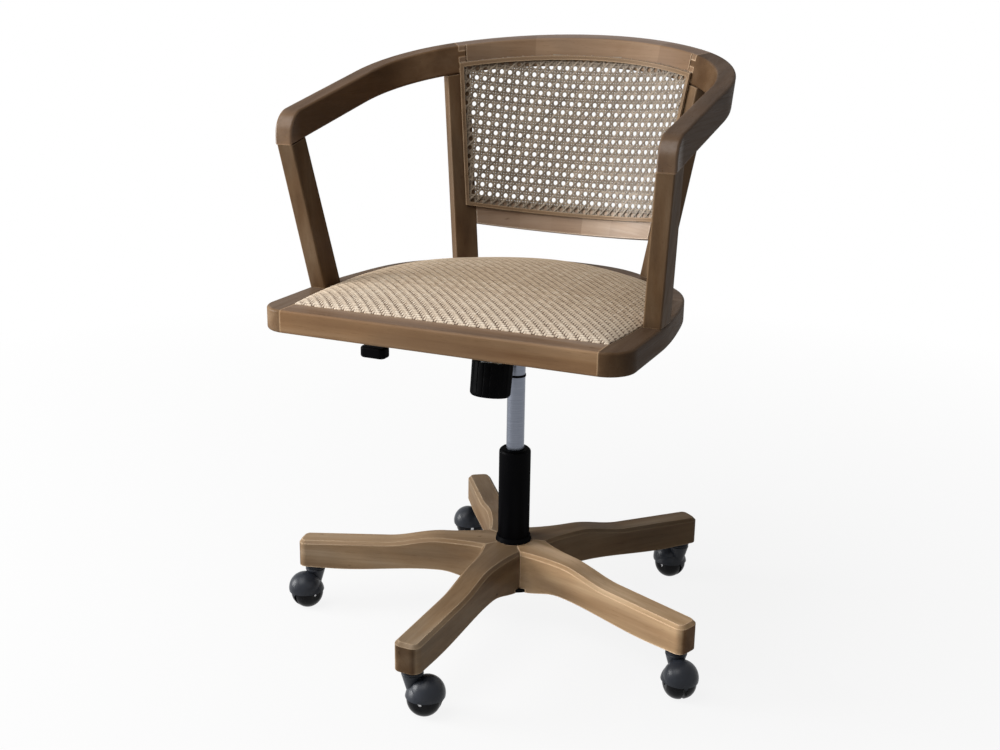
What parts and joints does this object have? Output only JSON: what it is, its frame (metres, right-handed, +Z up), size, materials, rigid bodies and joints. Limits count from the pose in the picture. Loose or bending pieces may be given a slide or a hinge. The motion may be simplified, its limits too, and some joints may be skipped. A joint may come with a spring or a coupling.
{
  "type": "swivel desk chair",
  "caption": "Swivel desk chair with a bent wooden arm bow, cane back and woven pad on a tilting gas-lift column and a wooden star base with hooded twin-wheel casters.",
  "frame": {"origin": "on the floor, on the axis of the swivel column", "axes": "+Z up along the column, -Y towards where the sitter faces, +X towards the sitter's left"},
  "size_m": [0.6974, 0.6604, 0.9109],
  "materials": {
    "frame_wood": "oiled satin, straight grain",
    "base_wood": "oiled satin, straight grain",
    "bead_wood": "oiled satin",
    "dowel_wood": "raw beech",
    "plywood": "raw birch plywood",
    "cane": "natural woven cane",
    "weave": "closely woven beige cord",
    "foam": "open foam",
    "black_plastic": "matt moulded",
    "caster_black": "glossy moulded",
    "black_steel": "black powder coat",
    "lift_steel": "ground steel",
    "bright_steel": "zinc plated"
  },
  "bodies": {
    "base": {"base_hub": "black_steel", "leg_bolts": "bright_steel", "caster_sockets": "black_plastic", "column_tube": "black_steel", "column_collar": "black_plastic", "guide_bush": "black_plastic", "thrust_bearing": "bright_steel", "leg_1": "base_wood", "leg_2": "base_wood", "leg_3": "base_wood", "leg_4": "base_wood", "leg_5": "base_wood"},
    "lift_rod": {"piston_rod": "bright_steel", "retaining_clip": "bright_steel"},
    "lift": {"gas_cylinder": "lift_steel", "cylinder_ring": "black_plastic", "mechanism_housing": "black_steel", "pivot_pins": "bright_steel"},
    "release": {"release_pin": "bright_steel"},
    "lever": {"height_lever": "black_steel", "lever_paddle": "black_plastic"},
    "knob": {"tension_knob": "black_plastic"},
    "caster_1": {"caster_1_hood": "caster_black", "caster_1_stem_and_axle": "bright_steel"},
    "wheels_1": {"caster_1_wheels": "caster_black"},
    "caster_2": {"caster_2_hood": "caster_black", "caster_2_stem_and_axle": "bright_steel"},
    "wheels_2": {"caster_2_wheels": "caster_black"},
    "caster_3": {"caster_3_hood": "caster_black", "caster_3_stem_and_axle": "bright_steel"},
    "wheels_3": {"caster_3_wheels": "caster_black"},
    "caster_4": {"caster_4_hood": "caster_black", "caster_4_stem_and_axle": "bright_steel"},
    "wheels_4": {"caster_4_wheels": "caster_black"},
    "caster_5": {"caster_5_hood": "caster_black", "caster_5_stem_and_axle": "bright_steel"},
    "wheels_5": {"caster_5_wheels": "caster_black"},
    "seat": {"arm_left": "frame_wood", "arm_right": "frame_wood", "back_post_left": "frame_wood", "back_post_right": "frame_wood", "cane_bead": "bead_wood", "cane_panel": "cane", "crest_rail": "frame_wood", "front_post_left": "frame_wood", "front_post_right": "frame_wood", "lower_back_rail": "frame_wood", "post_bolts": "bright_steel", "seat_back_rail": "frame_wood", "seat_board": "plywood", "seat_foam": "foam", "seat_front_rail": "frame_wood", "seat_plate": "black_steel", "seat_plate_screws": "bright_steel", "seat_side_rail_left": "frame_wood", "seat_side_rail_right": "frame_wood", "tension_bolt": "bright_steel", "tilt_spring": "bright_steel", "wood_dowels": "dowel_wood", "woven_seat": "weave"}
  },
  "joints": [
    {"name": "column_swivel", "type": "hinge", "parent": "base", "child": "lift_rod", "pos_m": [0, 0, 0.08], "axis": [0, 0, 1], "continuous": true},
    {"name": "height_lift", "type": "slide", "parent": "lift_rod", "child": "lift", "axis": [0, 0, 1], "range_m": [-0.11, 0]},
    {"name": "seat_tilt", "type": "hinge", "parent": "lift", "child": "seat", "pos_m": [0, -0.026, 0.5], "axis": [-1, 0, 0], "range_deg": [0, 10], "stiffness_Nm_per_rad": 80, "springref_deg": -20.05, "deforming": ["tilt_spring"]},
    {"name": "knob_turn", "type": "hinge", "parent": "seat", "child": "knob", "pos_m": [0, -0.099, 0.406], "axis": [0, 0.1736, 0.9848], "range_deg": [-720, 720]},
    {"name": "lever_lift", "type": "hinge", "parent": "lift", "child": "lever", "pos_m": [-0.056, 0, 0.5], "axis": [0, 1, 0], "range_deg": [0, 4], "stiffness_Nm_per_rad": 4, "springref_deg": -8.59},
    {"name": "release_press", "type": "slide", "parent": "lift", "child": "release", "axis": [0, 0, 1], "range_m": [-0.0042, 0]},
    {"name": "caster_1_swivel", "type": "hinge", "parent": "base", "child": "caster_1", "pos_m": [-0.31514, -0.09096, 0.06], "axis": [0, 0, 1], "continuous": true},
    {"name": "caster_1_roll", "type": "hinge", "parent": "caster_1", "child": "wheels_1", "pos_m": [-0.32159, -0.10776, 0.025], "axis": [0.9336, -0.3584, 0], "continuous": true},
    {"name": "caster_2_swivel", "type": "hinge", "parent": "base", "child": "caster_2", "pos_m": [-0.01087, -0.32782, 0.06], "axis": [0, 0, 1], "continuous": true},
    {"name": "caster_2_roll", "type": "hinge", "parent": "caster_2", "child": "wheels_2", "pos_m": [0.00695, -0.32532, 0.025], "axis": [-0.1392, 0.9903, 0], "continuous": true},
    {"name": "caster_3_swivel", "type": "hinge", "parent": "base", "child": "caster_3", "pos_m": [0.30841, -0.11164, 0.06], "axis": [0, 0, 1], "continuous": true},
    {"name": "caster_3_roll", "type": "hinge", "parent": "caster_3", "child": "wheels_3", "pos_m": [0.3195, -0.12583, 0.025], "axis": [0.788, 0.6157, 0], "continuous": true},
    {"name": "caster_4_swivel", "type": "hinge", "parent": "base", "child": "caster_4", "pos_m": [0.20149, 0.25882, 0.06], "axis": [0, 0, 1], "continuous": true},
    {"name": "caster_4_roll", "type": "hinge", "parent": "caster_4", "child": "wheels_4", "pos_m": [0.18492, 0.26585, 0.025], "axis": [-0.3907, -0.9205, 0], "continuous": true},
    {"name": "caster_5_swivel", "type": "hinge", "parent": "base", "child": "caster_5", "pos_m": [-0.18389, 0.2716, 0.06], "axis": [0, 0, 1], "continuous": true},
    {"name": "caster_5_roll", "type": "hinge", "parent": "caster_5", "child": "wheels_5", "pos_m": [-0.19863, 0.26128, 0.025], "axis": [0.5736, -0.8192, 0], "continuous": true}
  ],
  "couplings": [
    {"joint": "release_press", "follows": "lever_lift", "m_per_rad": -0.056}
  ]
}
